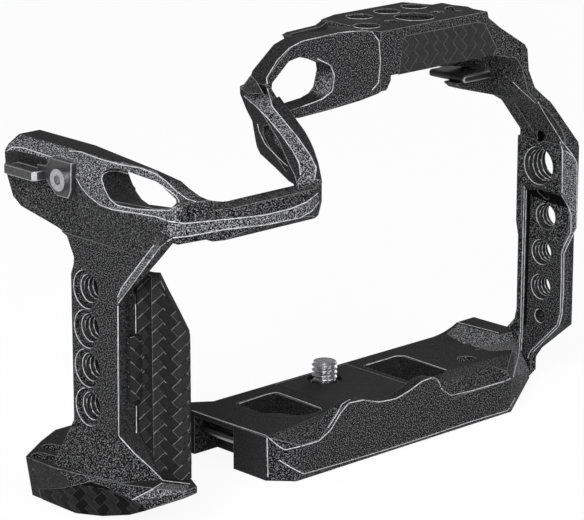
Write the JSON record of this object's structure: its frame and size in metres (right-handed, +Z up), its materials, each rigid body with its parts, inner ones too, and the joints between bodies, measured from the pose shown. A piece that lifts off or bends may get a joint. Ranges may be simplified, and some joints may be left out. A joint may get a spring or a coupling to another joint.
{
  "type": "camera cage",
  "caption": "Open machined cage that wraps round a camera body, with a grip side, top plate, rows of threaded holes, a captive camera screw and a stored key.",
  "frame": {"origin": "axis of the camera screw at the flat seat under the camera", "axes": "+X along the cage to the side column, away from the handle; -Y towards the lens side; +Z up out of the seat"},
  "size_m": [0.1573, 0.0649, 0.1049],
  "materials": {
    "frame_metal": "black anodised, fine matt blasted",
    "grip_rubber": "moulded herringbone weave",
    "foot_rubber": "moulded basket weave",
    "inlay_plastic": "bare, faint herringbone weave",
    "seat_rubber": "flat matt",
    "bright_steel": "bright turned steel",
    "bracket_steel": "dark satin steel",
    "plain_steel": "ground steel"
  },
  "bodies": {
    "frame": {"base_plate": "frame_metal", "handle_neck": "frame_metal", "handle_foot": "frame_metal", "handle_column": "frame_metal", "ring_arm": "frame_metal", "ring_front_arm": "frame_metal", "bridge_bar": "frame_metal", "eyelet_plate": "frame_metal", "top_plate": "frame_metal", "shoulder": "frame_metal", "side_column": "frame_metal", "grip_pad": "grip_rubber", "foot_inlay": "foot_rubber", "fascia_inlay": "inlay_plastic", "seat_pad": "seat_rubber", "strap_bracket": "bracket_steel", "strap_screw": "bright_steel", "key_magnet": "plain_steel", "lug_tongue": "bracket_steel", "tongue_screw": "bracket_steel"},
    "screw_lift": {"screw_washer": "plain_steel"},
    "screw": {"camera_screw": "bright_steel"},
    "key": {"stored_key": "plain_steel"}
  },
  "joints": [
    {"name": "screw_travel", "type": "slide", "parent": "frame", "child": "screw_lift", "axis": [0, 0, 1], "range_m": [-0.0034, 0]},
    {"name": "screw_turn", "type": "hinge", "parent": "screw_lift", "child": "screw", "pos_m": [0, 0, 0], "axis": [0, 0, 1], "range_deg": [-965, 0]},
    {"name": "key_slide", "type": "slide", "parent": "frame", "child": "key", "axis": [0, 1, 0], "range_m": [0, 0.01]}
  ],
  "couplings": [
    {"joint": "screw_turn", "follows": "screw_travel", "rad_per_m": 4947.4}
  ]
}
